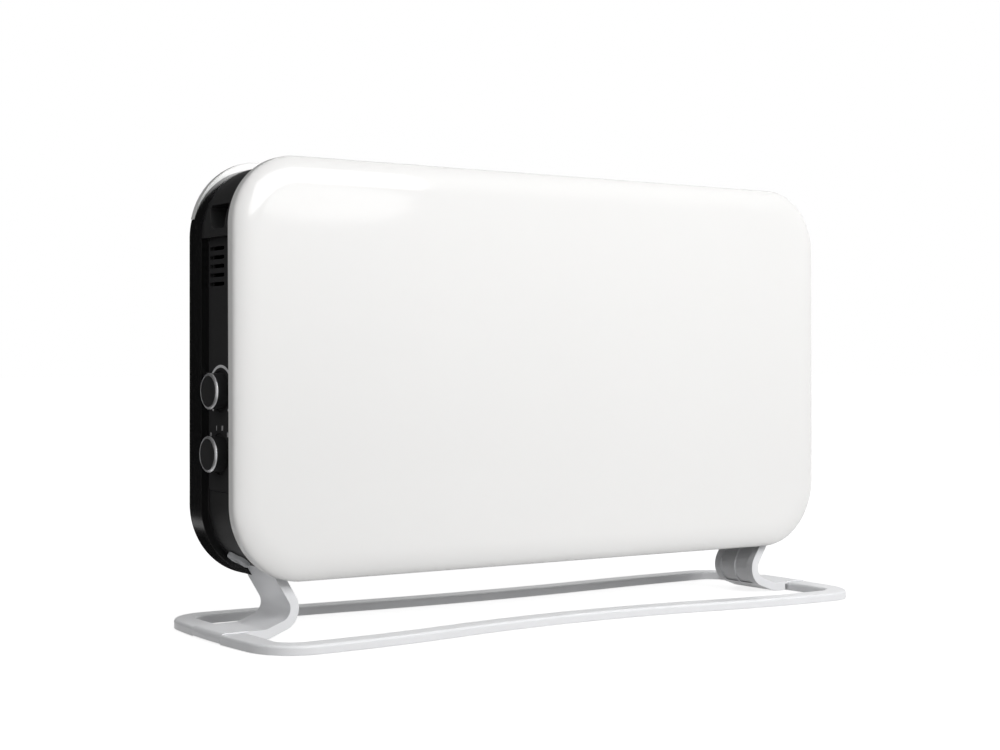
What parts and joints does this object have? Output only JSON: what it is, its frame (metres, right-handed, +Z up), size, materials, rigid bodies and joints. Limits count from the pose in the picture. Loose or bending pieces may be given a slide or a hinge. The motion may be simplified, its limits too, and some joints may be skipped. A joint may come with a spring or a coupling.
{
  "type": "panel convector heater",
  "caption": "Free-standing panel convector heater: enamelled front panel, black end caps with dials and vents, and two curved legs on a closed floor loop.",
  "frame": {"origin": "on the floor, under the middle of the stand", "axes": "+X to the right along the heater, +Y from the front panel to the back, +Z up"},
  "size_m": [0.7642, 0.228, 0.458],
  "materials": {
    "panel_white": "gloss enamel",
    "cover_white": "gloss enamel",
    "cap_black": "glossy moulding",
    "plate_black": "satin gloss moulding",
    "knob_black": "satin moulding",
    "bezel_bright": "bright plated ring",
    "grille_black": "matt moulding",
    "stand_grey": "satin powder coat",
    "latch_grey": "satin moulding",
    "socket_black": "matt moulding",
    "sheet_steel": "galvanised sheet",
    "element_aluminium": "as extruded",
    "bush_ceramic": "unglazed",
    "gear_cream": "moulded phenolic",
    "pad_rubber": "matt",
    "screw_steel": "zinc plated"
  },
  "bodies": {
    "frame": {"front_panel": "panel_white", "rear_cover": "cover_white", "heat_shield": "sheet_steel", "panel_bracket_left": "sheet_steel", "panel_bracket_right": "sheet_steel", "chassis_left": "sheet_steel", "chassis_right": "sheet_steel", "outlet_grille": "grille_black", "intake_grille": "grille_black", "end_cap_left": "cap_black", "end_cap_right": "cap_black", "control_plate": "plate_black", "side_plate": "plate_black", "thermostat_switch": "gear_cream", "power_switch": "gear_cream", "overheat_cutout": "gear_cream", "tip_switch": "gear_cream", "terminal_block": "gear_cream", "cord_gland": "socket_black", "heating_element_lower": "element_aluminium", "heating_element_upper": "element_aluminium", "element_bushes": "bush_ceramic", "leg_left": "stand_grey", "leg_right": "stand_grey", "leg_socket_left": "socket_black", "leg_socket_right": "socket_black", "base_ring": "stand_grey", "floor_pads": "pad_rubber", "latch_pins": "screw_steel", "leg_screws": "screw_steel", "foot_screws": "screw_steel", "cover_screws": "screw_steel", "cap_screws": "screw_steel"},
    "thermostat_dial": {"thermostat_knob": "knob_black", "thermostat_bezel": "bezel_bright", "thermostat_spindle": "screw_steel"},
    "power_dial": {"power_knob": "knob_black", "power_bezel": "bezel_bright", "power_spindle": "screw_steel"},
    "latch_left": {"leg_latch_left": "latch_grey"},
    "latch_right": {"leg_latch_right": "latch_grey"},
    "pendulum": {"tip_pendulum": "screw_steel"}
  },
  "joints": [
    {"name": "thermostat_turn", "type": "hinge", "parent": "frame", "child": "thermostat_dial", "pos_m": [-0.3822, -0.002, 0.2344], "axis": [-1, 0, 0], "range_deg": [-283, 0]},
    {"name": "power_turn", "type": "hinge", "parent": "frame", "child": "power_dial", "pos_m": [-0.3822, -0.0001, 0.1753], "axis": [-1, 0, 0], "range_deg": [-90, 0]},
    {"name": "latch_left_turn", "type": "hinge", "parent": "frame", "child": "latch_left", "pos_m": [-0.34453, 0.005, 0.07568], "axis": [-0.6225, 0, -0.7826], "range_deg": [0, 60]},
    {"name": "latch_right_turn", "type": "hinge", "parent": "frame", "child": "latch_right", "pos_m": [0.34453, 0.005, 0.07568], "axis": [0.6225, 0, -0.7826], "range_deg": [-60, 0]},
    {"name": "pendulum_swing", "type": "hinge", "parent": "frame", "child": "pendulum", "pos_m": [-0.3075, 0.009, 0.3], "axis": [1, 0, 0], "range_deg": [-25, 25]}
  ]
}
